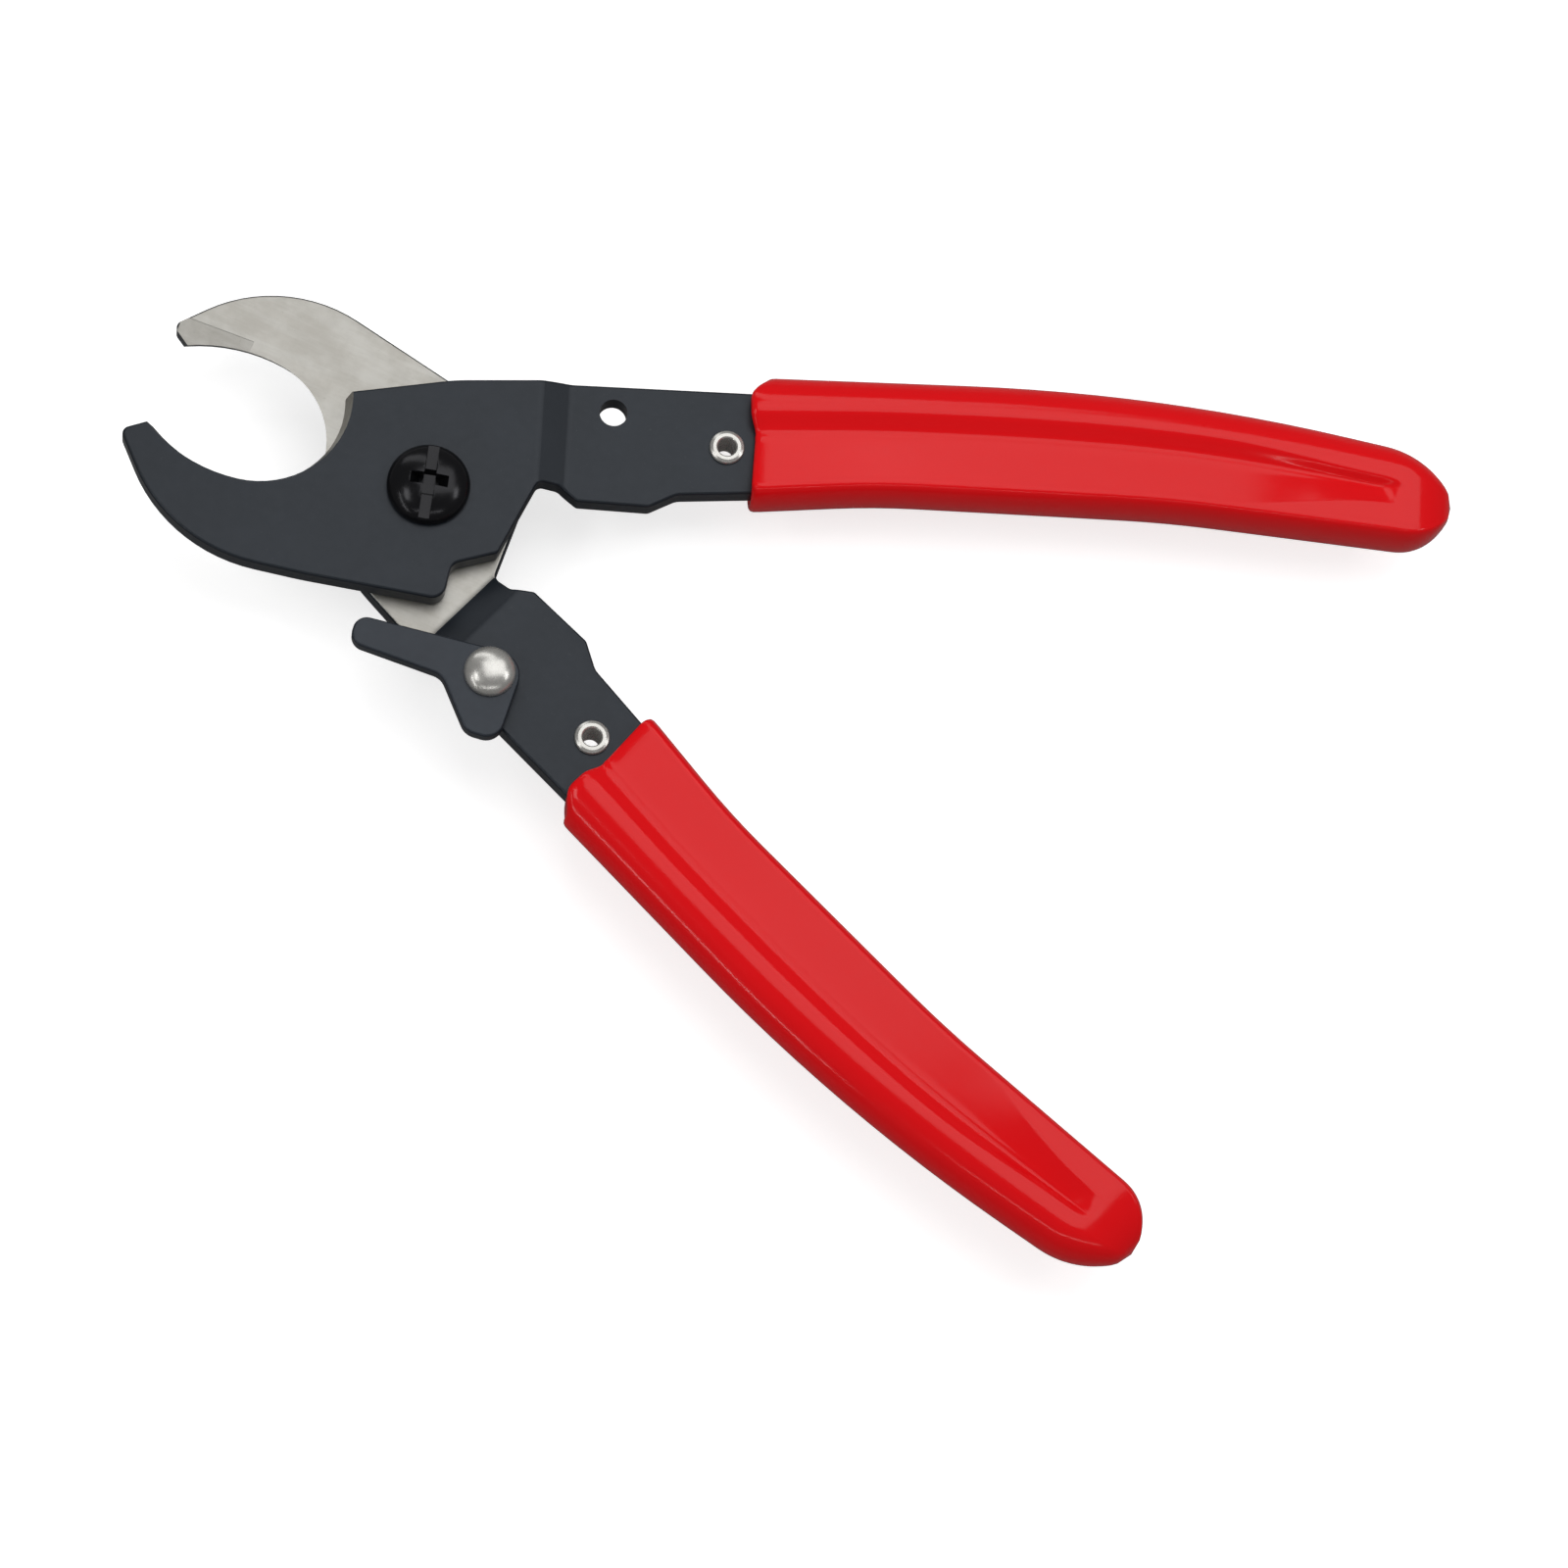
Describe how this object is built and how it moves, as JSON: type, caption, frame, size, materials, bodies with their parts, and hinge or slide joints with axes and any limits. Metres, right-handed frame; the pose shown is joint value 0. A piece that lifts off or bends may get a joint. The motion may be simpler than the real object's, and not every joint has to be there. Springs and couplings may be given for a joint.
{
  "type": "cable cutter",
  "caption": "Hand cable cutter of joggled steel plate: curved shear jaws on a screw pivot, thumb latch, return spring, empty hole in a tang, eyelets and vinyl dipped grips.",
  "frame": {"origin": "on the pivot axis, at the end face of the pivot screw behind the tool", "axes": "+Z along the pivot axis, out of the screw's head; +X from the pivot towards the grips, along the middle line between them; +Y towards the front arm's grip"},
  "size_m": [0.1554, 0.1144, 0.0161],
  "materials": {
    "blade_steel": "satin black oxide, shear faces and edges ground bare",
    "black_steel": "gloss black",
    "nickel": "bright nickel plate",
    "zinc_steel": "bright zinc plate",
    "bearing_bronze": "plain turned bronze",
    "spring_wire": "drawn music wire",
    "red_vinyl": "gloss dipped vinyl"
  },
  "bodies": {
    "front_arm": {"front_blade": "blade_steel", "pivot_screw": "black_steel", "pivot_bushing": "bearing_bronze", "spring_collar": "zinc_steel", "retaining_washer": "zinc_steel", "pivot_nut": "zinc_steel", "return_spring": "spring_wire", "front_eyelet": "nickel", "front_grip": "red_vinyl"},
    "rear_arm": {"rear_blade": "blade_steel", "rear_eyelet": "nickel", "latch_rivet": "nickel", "latch_washer": "zinc_steel", "rivet_burr": "nickel", "rear_grip": "red_vinyl"},
    "latch": {"latch_lever": "black_steel"}
  },
  "joints": [
    {"name": "blade_pivot", "type": "hinge", "parent": "front_arm", "child": "rear_arm", "pos_m": [0, 0, 0.0088], "axis": [0, 0, 1], "range_deg": [0, 41], "stiffness_Nm_per_rad": 0.08, "deforming": ["return_spring"]},
    {"name": "latch_pivot", "type": "hinge", "parent": "rear_arm", "child": "latch", "pos_m": [0.01684, -0.01921, 0.0131], "axis": [0, 0, 1], "range_deg": [-24.28, 0.5]}
  ],
  "couplings": [
    {"joint": "latch_pivot", "follows": "blade_pivot", "ratio": -0.58}
  ]
}
